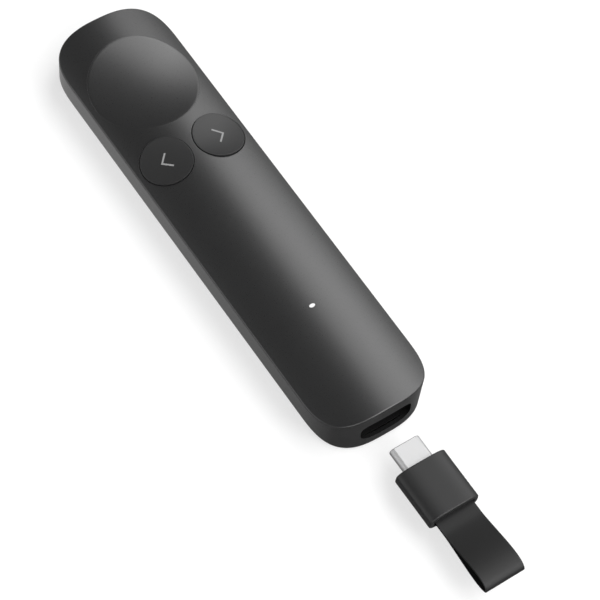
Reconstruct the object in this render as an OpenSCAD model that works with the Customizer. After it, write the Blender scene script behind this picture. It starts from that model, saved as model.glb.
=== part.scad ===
// Wireless presentation clicker with a plug-in radio receiver.
//
// The handset lies on its flat base. The origin is on the underside, in the
// middle of the handset. +Y points to the nose, where the pointer key is, and
// +X to the right. The receiver is drawn out of its bay, in line behind the
// tail, and slides home along +Y. Millimetres throughout.

/* [Handset] */
// Width across the long edges of the top cover
body_w = 30.6; // [29.6:0.1:33]
// Length between the two ends of the top cover
body_l = 126; // [122:0.5:140]
// Height of the long edges of the top cover above the table
edge_h = 9.25; // [8.8:0.05:11]
// Rise of the crown above the long edges
crown_h = 2.9; // [2.4:0.1:3.6]
// How far each side wall leans in from the edge to the table
side_lean = 1.05; // [0:0.05:1.4]
// How far each end wall leans out from the top to the table
end_lean = 1.15; // [0:0.05:2]
// Length of the rounded part at each end
end_l = 14.5; // [12:0.5:18]
// Squareness of the rounded ends, 2 is an ellipse
end_power = 3.05; // [2.4:0.05:4]
// Radius round the foot of the walls
foot_r = 1.2; // [0.6:0.1:1.6]
// Thickness of the side walls
wall_t = 1; // [0.8:0.05:1.1]
// Thickness of the floor
floor_t = 1.4; // [1:0.1:1.5]
// Thickness of the crowned top
cover_t = 1.3; // [1:0.1:1.4]
// Thickness of the top cover's rim over the walls
rim_h = 0.5; // [0.3:0.1:0.8]

/* [Keys] */
// Width of the cover left at each side of the pointer key
dish_margin = 1.5; // [1.3:0.1:3]
// Length of the cover left in front of the pointer key
nose_margin = 7.8; // [7:0.1:12]
// Depth of the dish at its middle
dish_depth = 1.15; // [0.6:0.05:1.5]
// Width of the cover left outside each of the two small keys
key_margin = 1.3; // [1.2:0.1:3]
// Width of the cover left between the two small keys
key_web = 1.6; // [1.2:0.1:4]
// Distance of the small keys' middles behind the pointer key's rim
key_back = 8.3; // [8:0.1:14]
// Depth of the small keys' dishes along Y
key_dish = 0.5; // [0.2:0.05:0.6]
// Depth of the small keys' middles below the crown
key_dip = 0.15; // [0.1:0.05:0.3]
// Distance of the small keys' lowest places in front of their middles
key_low = 0.5; // [0:0.1:0.8]
// Running gap round the small keys
key_gap = 0.15; // [0.1:0.01:0.28]
// Running gap round the pointer key
dish_gap = 0.1; // [0.08:0.01:0.2]
// Skin of the hollow keys
key_skin = 1.1; // [0.9:0.05:1.3]
// Travel of the keys
key_travel = 0.35; // [0.2:0.05:0.4]
// Length of a chevron's arm
arrow_l = 3.1; // [2:0.1:4]
// Width of a chevron's stroke
arrow_t = 0.36; // [0.25:0.01:0.6]
// Depth of the chevron's inlay
arrow_depth = 0.25; // [0.15:0.05:0.4]

/* [Status light] */
// Distance of the light from the tail
light_in = 31.4; // [27:0.2:34]
// Width of the light window
light_w = 1.8; // [1.4:0.1:2.4]
// Length of the light window
light_l = 1; // [0.8:0.1:1.3]

/* [Receiver] */
// Height of the receiver's centre line above the table
bay_z = 6; // [5.7:0.05:6.1]
// Width of the receiver's cap
cap_w = 13.7; // [13:0.1:14]
// Height of the receiver's cap
cap_h = 5.2; // [4.8:0.1:5.4]
// Length of the receiver's cap
cap_l = 13.8; // [13.4:0.1:15]
// Squareness of the cap's section, 2 is an ellipse
cap_power = 3.6; // [3:0.1:5]
// Radius round the cap's tail
cap_tail_r = 0.7; // [0.4:0.1:0.8]
// Radius round the cap's front
cap_front_r = 0.3; // [0.1:0.05:0.5]
// Wall of the cap
cap_wall = 0.9; // [0.8:0.05:1]
// Clearance round the cap in its bay
bay_gap = 0.24; // [0.15:0.01:0.3]
// Wall of the bay sleeve
bay_wall = 0.8; // [0.6:0.05:0.9]
// Distance that the receiver is drawn out
drawn_out = 26.7; // [10:0.1:40]

/* [Plug and port] */
// Width of the plug's metal shell
plug_w = 8.25; // [8.25:0.01:8.3]
// Height of the plug's metal shell
plug_h = 2.4; // [2.38:0.01:2.42]
// Length of the plug that stands out of the cap
plug_l = 6.3; // [6.2:0.05:6.65]
// Sheet thickness of the plug's shell and of the port's shell
sheet_t = 0.3; // [0.2:0.01:0.32]
// Clearance round the plug in the port
port_gap = 0.1; // [0.05:0.01:0.15]
// Width of the port's tongue
tongue_w = 6.6; // [6.4:0.05:6.7]
// Thickness of the port's tongue
tongue_t = 0.7; // [0.6:0.02:0.74]

/* [Strap] */
// Width of the strap
strap_w = 10.8; // [9:0.1:10.9]
// Thickness of the strap
strap_t = 0.5; // [0.4:0.05:0.7]
// Length of the strap's loop behind the cap
strap_l = 20; // [14:0.5:30]
// Greatest thickness of the loop, outside
strap_bulge = 3.6; // [2.6:0.1:5]
// Radius of the pin that holds the strap
pin_r = 0.5; // [0.4:0.05:0.6]

/* [Inside] */
// Width of the circuit board
board_w = 22; // [21:0.5:23]
// Thickness of the circuit board
board_t = 0.8; // [0.6:0.1:1]
// Width of the battery
battery_w = 20; // [14:0.5:21]
// Length of the battery
battery_l = 40; // [30:1:46]
// Thickness of the battery
battery_t = 3.2; // [2.4:0.1:3.4]
// Radius of the vibration motor
motor_r = 5; // [4:0.1:5.5]
// Thickness of the vibration motor
motor_t = 2.7; // [2:0.1:3]
// Radius of the board screws' shanks
screw_r = 0.75; // [0.6:0.05:0.9]

/* [Hidden] */
$fn = 64;
seam = 0.05;                     // fitting gap between pieces that don't move
past = 1;                        // how far a cutter runs past the face it cuts
slice_t = 0.02;                  // thickness of a slice that a hull blends
inner_round = 0.2;               // radius round the inside of the floor

// Places of the keys and the light, from the edges of the cover
dish_r = body_w / 2 - dish_margin - dish_gap;
dish_y = body_l / 2 - nose_margin - dish_r;
key_hole_r = (body_w / 2 - key_margin - key_web / 2) / 2;
key_r = key_hole_r - key_gap;
key_x = key_web / 2 + key_hole_r;
key_y = dish_y - dish_r - key_back;
light_y = -body_l / 2 + light_in;

// Outside form
body_h = edge_h + crown_h;
crown_r = (pow(body_w / 2, 2) + pow(crown_h, 2)) / (2 * crown_h);
crown_axis_z = body_h - crown_r;
cover_z = edge_h - rim_h;
tail_y = -body_l / 2;
function crown_z(x, r = crown_r) = crown_axis_z + sqrt(r * r - x * x);
function side_x(z) = body_w / 2 - side_lean * (edge_h - z) / edge_h;
function end_y(z) = body_l / 2 + end_lean * (body_h - z) / body_h;

// Place of a wall's inner face at the tail, at a distance from the centre line.
function inner_y(x, z = body_h) =
    wall_t - end_y(z)
    + (end_l - wall_t) * (1 - pow(1 - pow(x / (side_x(z) - wall_t), end_power), 1 / end_power));

// Circuit board, on the receiver's centre line
board_z = bay_z - board_t / 2;
board_top = bay_z + board_t / 2;
board_end_y = dish_y + dish_r - 3.2;
board_gap = 0.2;                 // room between a board and what it stands off
chip_t = 0.8;

// Switches under the keys
switch_w = 3.4;
switch_h = 0.7;
dome_r = 1.2;
dome_h = 0.3;
switch_top = board_top + switch_h + dome_h;
stop_gap = 0.1;                  // room left under a key pressed home
plunger_z = switch_top + key_travel + stop_gap;
skirt_z = plunger_z + 0.5;
plunger_r = 1.6;
ear_reach = 0.7;                 // how far an ear goes under the cover
ear_w = 3;
ear_t = 0.7;
ear_gap = 0.2;
keys = [-1, 1];                  // left and right

// Receiver, drawn out by drawn_out from its place flush in the tail
home_tail_y = -end_y(bay_z);
cap_tail_y = home_tail_y - drawn_out;
cap_front_y = cap_tail_y + cap_l;
plug_tip_y = cap_front_y + plug_l;
home_front_y = cap_front_y + drawn_out;
home_tip_y = plug_tip_y + drawn_out;
bay_w = cap_w + 2 * bay_gap;
bay_h = cap_h + 2 * bay_gap;
bay_stop_gap = 0.3;
bay_end_y = home_front_y + bay_stop_gap;
bay_end_t = 1;
bay_seat_y = inner_y(bay_w / 2 + bay_wall) + 0.2;

// Port in the end of the bay
port_w = plug_w + 2 * port_gap;
port_h = plug_h + 2 * port_gap;
port_back_y = home_tip_y + bay_stop_gap;
port_mouth_y = bay_end_y + 0.1;
tongue_front_y = port_mouth_y + 0.9;
board_start_y = bay_end_y + bay_end_t + board_gap;

// Plug
plug_inside = 2;                 // length of the plug held in the cap
plug_back_y = cap_front_y - plug_inside;
core_in = 0.4;                   // how far the core stands back from the plug's tip
slit_end = 1;                    // length of the core behind its slit
slit_w = 6.9;
slit_h = 1.2;
contact_w = 0.25;
contact_t = 0.1;
contact_pitch = 0.5;
contact_count = 12;
contact_in = 0.4;                // how far the contacts stop short of an end

// Cap and strap
room_end_t = 0.6;                // wall between the board and the strap
pin_gap = 0.1;
recess_gap = 0.3;                // room at each side of the strap
recess_w = strap_w + 2 * recess_gap;
recess_h = 2 * (pin_r + pin_gap + strap_t + recess_gap) - 0.2;
recess_power = 8;
recess_depth = 4.5;
recess_y = cap_tail_y + recess_depth;
pin_y = cap_tail_y + 3;
pin_seat = 0.6;                  // depth of the pin's seat in each cheek
pin_l = recess_w + 2 * pin_seat;
strap_start_y = cap_tail_y + 0.5;
strap_root = 1.5;                // length over which the two layers are one
room_w = 11;
room_h = 3.4;
room_front_y = cap_front_y - cap_wall;
room_back_y = recess_y + room_end_t;

// Screws, bosses and battery
boss_r = 2;
boss_x = board_w / 2 - boss_r;
boss_in = 12;                    // from the board's end, and from the dish's middle
boss_ys = [board_start_y + boss_in, dish_y - boss_in];
screw_head_r = 1.4;
screw_head_h = 0.6;
screw_slot = [2.8, 0.3, 0.25];
hole_gap = 0.1;
pad_t = 0.4;
pad_inset = 1;
battery_y = (boss_ys[0] + boss_ys[1]) / 2;
battery_z = floor_t + pad_t;
tab_x = 3;
tab_w = 2;
tab_t = 0.2;
tab_reach = 1.2;
motor_y = dish_y - 2;
motor_hub_r = motor_r * 0.4;
motor_hub_t = 0.2;
led_size = [1.6, 0.9, 0.6];
flange_t = 0.6;                  // light window's flange under the cover
flange_reach = 0.7;

// Chips and small parts on the board
radio_size = [5, 5, chip_t];
radio_y = battery_y - radio_size.y;
power_size = [3, 3, chip_t];
sensor_size = [2.5, 3, chip_t];
antenna_size = [6.5, 2.2, 1.1];
antenna_in = 1.6;
crystal_size = [2.5, 3.2, 0.7];
part_size = [1, 0.6, 0.5];
part_x = board_w / 2 - 2.8;
part_pitch = 6;
part_rows = 6;
fence_t = 0.8;                   // wall round the motor
fence_h = 1.2;
receiver_chip_size = [4, 3.4, chip_t];
receiver_antenna_size = [1.6, 3.2, chip_t];
receiver_parts_in = 1;           // how far they stop behind the plug

// Snap tabs of the cover
tab_ys = [-44, -22, 4];
snap_l = 6;
snap_t = 0.8;
snap_h = 2.2;
snap_gap = 0.2;

// ---- outlines -------------------------------------------------------------

// Points of an oval whose squareness is set by a power, from angle a0 to a1.
function oval(rx, ry, power, a0 = 0, a1 = 360, step = 7.5) = [
    for (a = [a0 : step : a1 - (a1 - a0 == 360 ? step : 0)])
        [rx * sign(cos(a)) * pow(abs(cos(a)), 2 / power),
         ry * sign(sin(a)) * pow(abs(sin(a)), 2 / power)]
];

// Plan of the handset: straight sides between two squarish round ends.
function plan(half_w, half_l, end) = concat(
    [for (p = oval(half_w, end, end_power, 0, 180)) [p.x, p.y + half_l - end]],
    [for (p = oval(half_w, end, end_power, 180, 360)) [p.x, p.y - half_l + end]]
);

// A thin slice of the handset at one height, inset all round.
module slice(z, inset) {
    translate([0, 0, z])
        linear_extrude(slice_t)
            polygon(plan(side_x(z) - inset, end_y(z) - inset, end_l - inset));
}

// The handset's leaning walls with a rounded foot, up past the crown.
module wall_form(inset, bottom, round_r) {
    hull() {
        for (a = [0 : 22.5 : 90])
            slice(bottom + round_r * (1 - sin(a)), inset + round_r * (1 - cos(a)));
        slice(body_h, inset);
    }
}

// All that lies under the crown, or under a surface sunk by some depth.
module under_crown(sunk = 0) {
    translate([0, 0, crown_axis_z])
        rotate([90, 0, 0])
            cylinder(r = crown_r - sunk, h = 2 * body_l, center = true, $fn = 360);
}

// Radius of the arc that spans a chord with a given rise.
function arc_r(half_chord, rise) =
    (half_chord * half_chord + rise * rise) / (2 * rise);

// All that lies under the dished top of a round key. Across X the top joins two
// places of the rim on the crown, and its middle lies a dip below the crown. Along
// Y it sinks by the dish's depth. Where the two are the same, the rim lies on the
// crown all round, and where the dip is less, the rim stands proud at its front and back.
module under_dish(x, y, r, dip, depth, sunk = 0) {
    left = asin((x - r) / crown_r);
    right = asin((x + r) / crown_r);
    half = (right - left) / 2;
    turn = (right + left) / 2;
    across_r = arc_r(crown_r * sin(half), crown_r * (1 - cos(half)) - dip);
    along_r = arc_r(r, depth);
    axis_d = crown_r - dip - across_r;
    reach = r + past;
    translate([axis_d * sin(turn), y, crown_axis_z + axis_d * cos(turn)])
        rotate([90, 0, 0])
            rotate_extrude($fn = 360)
                difference() {
                    translate([0, -reach])
                        square([across_r + 2 - sunk, 2 * reach]);
                    translate([across_r + along_r, 0])
                        circle(along_r + sunk, $fn = 360);
                }
}

// A solid along Y whose section is drawn in X and Z.
module along_y(y0, y1, z = bay_z) {
    translate([0, y1, z])
        rotate([90, 0, 0])
            linear_extrude(y1 - y0)
                children();
}

// A flat-sided section with round ends.
module racetrack(w, h) {
    square([w - h, h], center = true);
    for (side = keys)
        translate([side * (w - h) / 2, 0])
            circle(d = h);
}

// A box on the circuit board, centred in plan.
module on_board(x, y, size) {
    translate([x - size.x / 2, y - size.y / 2, board_top])
        cube(size);
}

module at_bosses() {
    for (side = keys, y = boss_ys)
        translate([side * boss_x, y, 0])
            children();
}

// ---- handset shells -------------------------------------------------------

module bay_section(extra = 0) {
    polygon(oval(bay_w / 2 + extra, bay_h / 2 + extra, cap_power));
}

module base_shell() {
    color("#383838") {
        difference() {
            union() {
                difference() {
                    intersection() {
                        wall_form(0, 0, foot_r);
                        under_crown(rim_h);
                    }
                    wall_form(wall_t, floor_t, inner_round);
                }
                along_y(tail_y + wall_t / 2, bay_seat_y)
                    bay_section(bay_wall);
            }
            along_y(tail_y - end_lean - past, bay_seat_y + past)
                bay_section();
        }
        at_bosses()
            difference() {
                translate([0, 0, floor_t])
                    cylinder(r = boss_r, h = board_z - floor_t);
                translate([0, 0, floor_t + past])
                    cylinder(r = screw_r + seam, h = board_z);
            }
        translate([0, motor_y, floor_t])
            difference() {
                cylinder(r = motor_r + fence_t + hole_gap, h = fence_h);
                translate([0, 0, -past])
                    cylinder(r = motor_r + hole_gap, h = fence_h + 2 * past);
            }
    }
}

module snap_tabs() {
    for (side = keys, y = tab_ys)
        translate([side * (side_x(cover_z - snap_h) - wall_t - snap_gap - snap_t / 2),
                   y, cover_z - snap_h / 2 + snap_gap])
            cube([snap_t, snap_l, snap_h + 2 * snap_gap], center = true);
}

module light_outline(extra = 0) {
    racetrack(light_w + 2 * extra, light_l + 2 * extra);
}

module top_cover() {
    color("#464646")
        difference() {
            union() {
                difference() {
                    intersection() {
                        wall_form(0, 0, foot_r);
                        under_crown();
                    }
                    under_crown(rim_h);
                }
                difference() {
                    intersection() {
                        wall_form(wall_t + seam, floor_t, inner_round);
                        under_crown(rim_h / 2);
                    }
                    under_crown(cover_t);
                }
                intersection() {
                    snap_tabs();
                    under_crown(cover_t / 2);
                }
            }
            translate([0, dish_y, cover_z - past])
                cylinder(r = dish_r + dish_gap, h = body_h, $fn = 180);
            for (side = keys)
                translate([side * key_x, key_y, cover_z - past])
                    cylinder(r = key_hole_r, h = body_h, $fn = 120);
            translate([0, light_y, cover_z])
                linear_extrude(body_h)
                    light_outline(seam);
        }
}

module receiver_bay() {
    color("#1c1c1c")
        difference() {
            along_y(bay_seat_y + seam, bay_end_y + bay_end_t)
                bay_section(bay_wall);
            along_y(bay_seat_y - past, bay_end_y)
                bay_section();
            along_y(bay_end_y - past, bay_end_y + bay_end_t + past)
                racetrack(port_w + 2 * (sheet_t + seam), port_h + 2 * (sheet_t + seam));
        }
}

// ---- circuit board and what it carries --------------------------------------

module circuit_board() {
    notch_w = port_w + 2 * (sheet_t + hole_gap);
    color("#1f5a3a")
        difference() {
            translate([-board_w / 2, board_start_y, board_z])
                cube([board_w, board_end_y - board_start_y, board_t]);
            translate([-notch_w / 2, board_start_y - past, board_z - past])
                cube([notch_w, port_back_y + sheet_t + hole_gap - board_start_y + past,
                      board_t + 2 * past]);
            at_bosses()
                translate([0, 0, board_z - past])
                    cylinder(r = screw_r + hole_gap, h = board_t + 2 * past);
        }
}

module board_screws() {
    color("#b9bcc0")
        at_bosses() {
            translate([0, 0, floor_t + past + hole_gap])
                cylinder(r = screw_r, h = board_top - floor_t - past - hole_gap);
            translate([0, 0, board_top])
                difference() {
                    cylinder(r = screw_head_r, h = screw_head_h);
                    for (turn = [0, 90])
                        rotate(turn)
                            translate([0, 0, screw_head_h])
                                cube([screw_slot.x / 2 + screw_slot.y, screw_slot.y,
                                      2 * screw_slot.z], center = true);
                }
        }
}

module battery() {
    color("#b4b7ba")
        translate([-battery_w / 2, battery_y - battery_l / 2, battery_z])
            cube([battery_w, battery_l, battery_t]);
}

module battery_pad() {
    color("#2b2b2b")
        translate([-battery_w / 2 + pad_inset, battery_y - battery_l / 2 + pad_inset, floor_t])
            cube([battery_w - 2 * pad_inset, battery_l - 2 * pad_inset, pad_t]);
}

module battery_tabs() {
    end = battery_y - battery_l / 2;
    foot_z = battery_z + battery_t / 2;
    color("#cfd2d4")
        for (side = keys)
            translate([side * tab_x - tab_w / 2, end, 0]) {
                translate([0, -tab_reach, foot_z])
                    cube([tab_w, tab_reach, tab_t]);
                translate([0, -tab_reach - tab_t, foot_z])
                    cube([tab_w, tab_t, board_z - foot_z]);
            }
}

module vibration_motor() {
    color("#a8abae")
        translate([0, motor_y, floor_t]) {
            cylinder(r = motor_r, h = motor_t);
            translate([0, 0, motor_t])
                cylinder(r = motor_hub_r, h = motor_hub_t);
        }
}

module tact_switch(x, y) {
    on_board(x, y, [switch_w, switch_w, switch_h]);
    translate([x, y, board_top + switch_h])
        cylinder(r = dome_r, h = dome_h);
}

module pointer_switch() { color("#5a5c5e") tact_switch(0, dish_y); }
module back_switch() { color("#5a5c5e") tact_switch(-key_x, key_y); }
module next_switch() { color("#5a5c5e") tact_switch(key_x, key_y); }

module radio_chip() {
    color("#202224")
        on_board(0, radio_y, radio_size);
}

module crystal() {
    color("#c8cacc")
        on_board(radio_size.x / 2 + crystal_size.x, radio_y, crystal_size);
}

module power_chip() {
    color("#202224")
        on_board(-radio_size.x, radio_y - 3 * radio_size.y, power_size);
}

module motion_sensor() {
    color("#26282a")
        on_board(radio_size.x, radio_y + 2 * radio_size.y, sensor_size);
}

module antenna() {
    color("#e4e0d2")
        on_board(0, board_end_y - antenna_in, antenna_size);
}

module small_parts() {
    color("#a58a64")
        for (row = [0 : part_rows - 1], side = keys)
            on_board(side * part_x, boss_ys[0] + part_pitch * (row + 1), part_size);
}

// ---- port at the end of the bay -----------------------------------------------

module port_shell() {
    color("#c4c7ca")
        difference() {
            along_y(port_mouth_y, port_back_y + sheet_t)
                racetrack(port_w + 2 * sheet_t, port_h + 2 * sheet_t);
            along_y(port_mouth_y - past, port_back_y)
                racetrack(port_w, port_h);
        }
}

module port_tongue() {
    color("#2a2a2c")
        along_y(tongue_front_y, port_back_y)
            square([tongue_w, tongue_t], center = true);
}

module contact_row(y0, y1, z) {
    for (i = [0 : contact_count - 1])
        translate([(i - (contact_count - 1) / 2) * contact_pitch - contact_w / 2, y0, z])
            cube([contact_w, y1 - y0, contact_t / 2]);
}

module port_contacts() {
    color("#d8b45c") {
        for (z = [tongue_t / 2, -tongue_t / 2 - contact_t / 2])
            contact_row(tongue_front_y + contact_in, port_back_y - contact_in, bay_z + z);
    }
}

// ---- status light ---------------------------------------------------------------

module status_led() {
    color("#f4f2e0")
        on_board(0, light_y, led_size);
}

module light_pipe() {
    flange_z = crown_z(light_w, crown_r - cover_t) - seam;
    color("#ffffff")
        intersection() {
            translate([0, light_y, 0]) {
                translate([0, 0, board_top + led_size.z + seam])
                    linear_extrude(body_h)
                        light_outline();
                translate([0, 0, flange_z - flange_t])
                    linear_extrude(flange_t)
                        light_outline(flange_reach);
            }
            under_crown();
        }
}

// ---- keys -----------------------------------------------------------------------

// An ear that hooks under the cover at the front and the back of a key.
module ears(x, y, r) {
    top = crown_z(abs(x) + ear_w / 2, crown_r - cover_t) - ear_gap;
    translate([x, y, top - ear_t / 2])
        cube([ear_w, 2 * (r + ear_reach), ear_t], center = true);
}

module pointer_button() {
    color("#4a4a4a") {
        difference() {
            intersection() {
                translate([0, dish_y, skirt_z])
                    cylinder(r = dish_r, h = body_h, $fn = 180);
                under_dish(0, dish_y, dish_r, dish_depth, dish_depth);
            }
            intersection() {
                translate([0, dish_y, skirt_z - past])
                    cylinder(r = dish_r - key_skin, h = body_h, $fn = 180);
                under_dish(0, dish_y, dish_r, dish_depth, dish_depth, key_skin);
            }
        }
        translate([0, dish_y, plunger_z])
            cylinder(r = plunger_r, h = body_h - dish_depth - key_skin / 2 - plunger_z);
        difference() {
            ears(0, dish_y, dish_r + dish_gap);
            translate([0, dish_y, 0])
                cylinder(r = dish_r - key_skin / 2, h = body_h);
        }
    }
}

// The chevron's two arms, pointing away from the centre line.
module arrow_plan(side) {
    tip = arrow_l / sqrt(2) / 2;
    translate([side * (key_x + tip), key_y])
        for (turn = [-1, 1])
            rotate(90 + side * 90 + turn * 45)
                translate([-arrow_t / 2, -arrow_t / 2])
                    square([arrow_l, arrow_t]);
}

// All that lies under the dished top of a small key.
module under_key(side, sunk = 0) {
    under_dish(side * key_x, key_y + key_low, key_r, key_dip, key_dish, sunk);
}

module arrow(side) {
    intersection() {
        difference() {
            under_key(side);
            under_key(side, arrow_depth);
        }
        translate([0, 0, cover_z])
            linear_extrude(body_h)
                arrow_plan(side);
    }
}

module small_key(side) {
    x = side * key_x;
    color("#3f3f3f")
        difference() {
            union() {
                difference() {
                    intersection() {
                        translate([x, key_y, skirt_z])
                            cylinder(r = key_r, h = body_h, $fn = 120);
                        under_key(side);
                    }
                    intersection() {
                        translate([x, key_y, skirt_z - past])
                            cylinder(r = key_r - key_skin, h = body_h, $fn = 120);
                        under_key(side, key_skin);
                    }
                }
                translate([x, key_y, plunger_z])
                    cylinder(r = plunger_r,
                             h = crown_z(key_x) - key_dip - key_skin / 2 - plunger_z);
                difference() {
                    ears(x, key_y, key_hole_r);
                    translate([x, key_y, 0])
                        cylinder(r = key_r - key_skin / 2, h = body_h);
                }
            }
            arrow(side);
        }
}

module back_button() { small_key(-1); }
module next_button() { small_key(1); }
module back_arrow() { color("#b8b8b8") arrow(-1); }
module next_arrow() { color("#b8b8b8") arrow(1); }

// ---- receiver ---------------------------------------------------------------------

module plug_shell() {
    color("#d9dadb")
        difference() {
            along_y(plug_back_y, plug_tip_y)
                racetrack(plug_w, plug_h);
            along_y(plug_back_y - past, plug_tip_y + past)
                racetrack(plug_w - 2 * sheet_t, plug_h - 2 * sheet_t);
        }
}

module plug_core() {
    color("#1b1b1d")
        difference() {
            along_y(plug_back_y, plug_tip_y - core_in)
                racetrack(plug_w - 2 * sheet_t, plug_h - 2 * sheet_t);
            along_y(plug_back_y + slit_end, plug_tip_y)
                square([slit_w, slit_h], center = true);
        }
}

module plug_contacts() {
    color("#d8b45c") {
        for (z = [slit_h / 2 - contact_t / 2, -slit_h / 2])
            contact_row(plug_back_y + slit_end + contact_in, plug_tip_y - core_in - contact_in,
                        bay_z + z);
    }
}

// A slice of the cap at a depth behind its front, inset all round.
module cap_slice(depth, inset, thickness = slice_t) {
    translate([0, 0, depth])
        linear_extrude(thickness)
            polygon(oval(cap_w / 2 - inset, cap_h / 2 - inset, cap_power));
}

module cap_form() {
    translate([0, cap_front_y, bay_z])
        rotate([90, 0, 0])
            hull() {
                cap_slice(cap_front_r, 0, cap_l - cap_front_r - cap_tail_r);
                for (a = [30 : 30 : 90]) {
                    cap_slice(cap_front_r * (1 - sin(a)), cap_front_r * (1 - cos(a)));
                    cap_slice(cap_l - slice_t - cap_tail_r * (1 - sin(a)),
                              cap_tail_r * (1 - cos(a)));
                }
            }
}

module receiver_cap() {
    color("#464646")
        difference() {
            cap_form();
            along_y(room_back_y, room_front_y)
                square([room_w, room_h], center = true);
            along_y(room_front_y - past, cap_front_y + past)
                racetrack(plug_w + 2 * seam, plug_h + 2 * seam);
            along_y(cap_tail_y - past, recess_y)
                polygon(oval(recess_w / 2, recess_h / 2, recess_power));
            translate([0, pin_y, bay_z])
                rotate([0, 90, 0])
                    cylinder(r = pin_r + 0.02, h = pin_l + 2 * seam, center = true);
        }
}

module receiver_board() {
    color("#1f5a3a")
        along_y(room_back_y + board_gap, plug_back_y)
            square([room_w - 2 * board_gap, board_t], center = true);
}

module receiver_chip() {
    color("#202224")
        translate([-receiver_chip_size.x / 2,
                   plug_back_y - receiver_parts_in - receiver_chip_size.y,
                   bay_z + board_t / 2])
            cube(receiver_chip_size);
}

module receiver_antenna() {
    color("#e4e0d2")
        translate([receiver_chip_size.x / 2 + receiver_parts_in,
                   plug_back_y - receiver_parts_in - receiver_antenna_size.y,
                   bay_z + board_t / 2])
            cube(receiver_antenna_size);
}

// The loop's middle line: a teardrop that leaves the cap as one thickness.
// It is highest where the sine of half the angle is the root of 0.8.
function teardrop(length, half_h) = [
    for (a = [0 : 6 : 354])
        [-length * (1 - cos(a)) / 2,
         half_h * sin(a) * pow(sin(a / 2), 3) / (2 * pow(0.8, 2) * sqrt(0.2))]
];

module strap() {
    length = strap_l + strap_start_y - cap_tail_y - strap_t / 2;
    color("#383838")
        translate([strap_w / 2, 0, bay_z])
            rotate([90, 0, -90])
                linear_extrude(strap_w)
                    mirror([1, 0]) {
                        translate([strap_start_y, 0])
                            difference() {
                                offset(r = strap_t / 2, $fn = 16)
                                    polygon(teardrop(length, (strap_bulge - strap_t) / 2));
                                offset(r = -strap_t / 2, $fn = 16)
                                    polygon(teardrop(length, (strap_bulge - strap_t) / 2));
                            }
                        difference() {
                            union() {
                                translate([strap_start_y - strap_root, -strap_t])
                                    square([pin_y - strap_start_y + strap_root, 2 * strap_t]);
                                translate([pin_y, 0])
                                    circle(pin_r + pin_gap + strap_t);
                            }
                            translate([pin_y, 0])
                                circle(pin_r + pin_gap);
                        }
                    }
}

module strap_pin() {
    color("#c4c7ca")
        translate([0, pin_y, bay_z])
            rotate([0, 90, 0])
                cylinder(r = pin_r, h = pin_l, center = true);
}

base_shell();
top_cover();
receiver_bay();
circuit_board();
board_screws();
battery();
battery_pad();
battery_tabs();
vibration_motor();
port_shell();
port_tongue();
port_contacts();
pointer_switch();
back_switch();
next_switch();
radio_chip();
power_chip();
motion_sensor();
antenna();
crystal();
small_parts();
status_led();
light_pipe();
pointer_button();
back_button();
next_button();
back_arrow();
next_arrow();
plug_shell();
plug_core();
plug_contacts();
receiver_cap();
receiver_board();
receiver_chip();
receiver_antenna();
strap();
strap_pin();
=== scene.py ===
import math
import bmesh
import bpy
from mathutils import Matrix, Vector


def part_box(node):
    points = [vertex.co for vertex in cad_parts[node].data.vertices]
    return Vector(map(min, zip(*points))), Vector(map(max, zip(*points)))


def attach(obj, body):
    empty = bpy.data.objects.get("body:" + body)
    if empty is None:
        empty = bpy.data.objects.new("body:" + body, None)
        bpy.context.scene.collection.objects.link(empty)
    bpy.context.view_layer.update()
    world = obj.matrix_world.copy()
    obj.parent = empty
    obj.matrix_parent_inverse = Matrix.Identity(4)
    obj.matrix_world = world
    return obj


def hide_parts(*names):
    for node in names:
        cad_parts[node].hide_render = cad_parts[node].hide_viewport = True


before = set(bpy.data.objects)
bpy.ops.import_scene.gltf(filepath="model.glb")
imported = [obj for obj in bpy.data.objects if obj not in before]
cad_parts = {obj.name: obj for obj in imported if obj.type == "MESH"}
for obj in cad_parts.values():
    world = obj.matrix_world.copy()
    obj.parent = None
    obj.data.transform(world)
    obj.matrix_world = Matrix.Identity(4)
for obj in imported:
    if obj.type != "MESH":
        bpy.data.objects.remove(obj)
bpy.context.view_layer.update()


# ---- Base shell ----------------------------------------------------------------------
# The lower half of the handset: a flat floor and leaning walls, moulded in one from
# dark grey ABS with a fine spark-eroded texture. The mouth of the receiver's bay goes
# through its tail wall, and the board's bosses and the motor's fence stand on its floor.

MM = 0.001
TINY = 0.001 * MM
MERGE_GAP = 0.0002 * MM

BODY_W = 30.6 * MM
BODY_L = 126 * MM
BODY_H = 12.15 * MM
EDGE_H = 9.25 * MM
SIDE_LEAN = 1.05 * MM
END_LEAN = 1.15 * MM
END_L = 14.5 * MM
END_POWER = 3.05
END_STEPS = 90
SETTLE_STEPS = 5
FOOT_R = 1.2 * MM
WALL_T = 1 * MM
FLOOR_T = 1.4 * MM
RIM_H = 0.5 * MM
SEAM = 0.03 * MM

CROWN_RISE = BODY_H - EDGE_H
CROWN_R = ((BODY_W / 2) ** 2 + CROWN_RISE ** 2) / (2 * CROWN_RISE)
CROWN_AXIS_Z = BODY_H - CROWN_R

BAY_Z = 6 * MM
BAY_W = 14.18 * MM
BAY_H = 5.68 * MM
BAY_POWER = 3.6
BAY_WALL = 0.8 * MM
SECTION_STEPS = 128
MOUTH_PAST_TAIL = 3 * MM
MOUTH_PAST_SEAT = 1 * MM

SCREW_HEAD_R = 1.4 * MM
BOSS_R = 2 * MM
BOSS_BORE_R = 0.8 * MM
FENCE_H = 1.2 * MM
FENCE_T = 0.8 * MM
FENCE_GAP = 0.1 * MM

ABS_GREY = (0.0145, 0.0145, 0.0147)
ABS_SATIN = 0.3
ABS_GRAIN = 0.16 * MM
ABS_RELIEF = 0.001 * MM
PLASTIC_IOR = 1.58
TINT_PATCH = 9 * MM
TINT_SPREAD = 0.08
SHEEN_SPREAD = 0.03


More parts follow.
